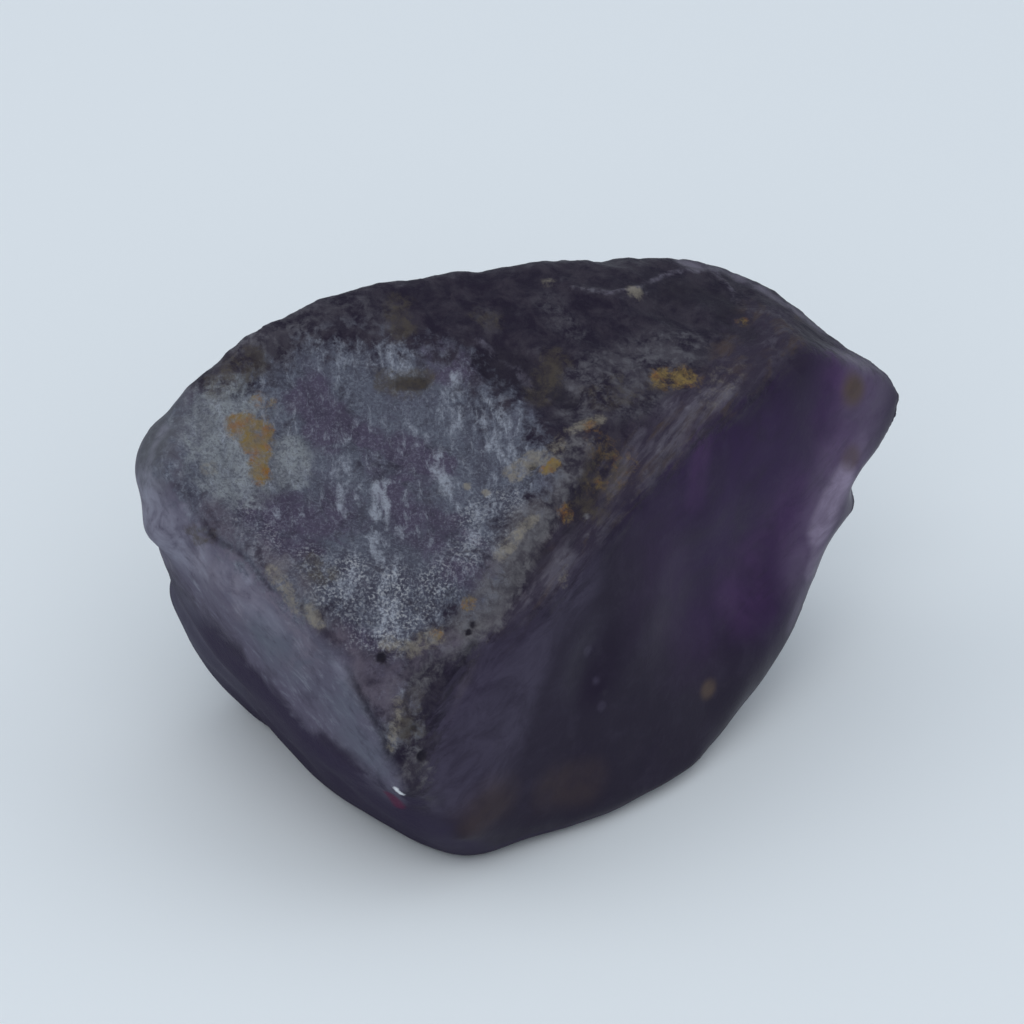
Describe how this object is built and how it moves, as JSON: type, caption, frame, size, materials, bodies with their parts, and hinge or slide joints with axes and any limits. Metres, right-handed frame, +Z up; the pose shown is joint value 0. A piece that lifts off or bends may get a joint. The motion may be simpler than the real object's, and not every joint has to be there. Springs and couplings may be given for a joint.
{
  "type": "rough mineral specimen",
  "caption": "Rough violet fluorite lump, wedge-shaped, with a frosted kite-shaped top facet, a steep glassy right face and a flat underside that it rests on.",
  "frame": {"origin": "Bottom centre of the lump's bounding box, on the flat cleavage that it rests on.", "axes": "+X along the lump's long axis, toward its pointed right end; +Y to its back; +Z up. The brow and the steep face look toward -Y."},
  "size_m": [0.0302, 0.0222, 0.018],
  "materials": {
    "fluorite": "frosted cleavage faces over dark violet, with ochre iron stains; glassy on the steep right face"
  },
  "bodies": {
    "root": {"rough_fluorite": "fluorite"}
  },
  "joints": []
}
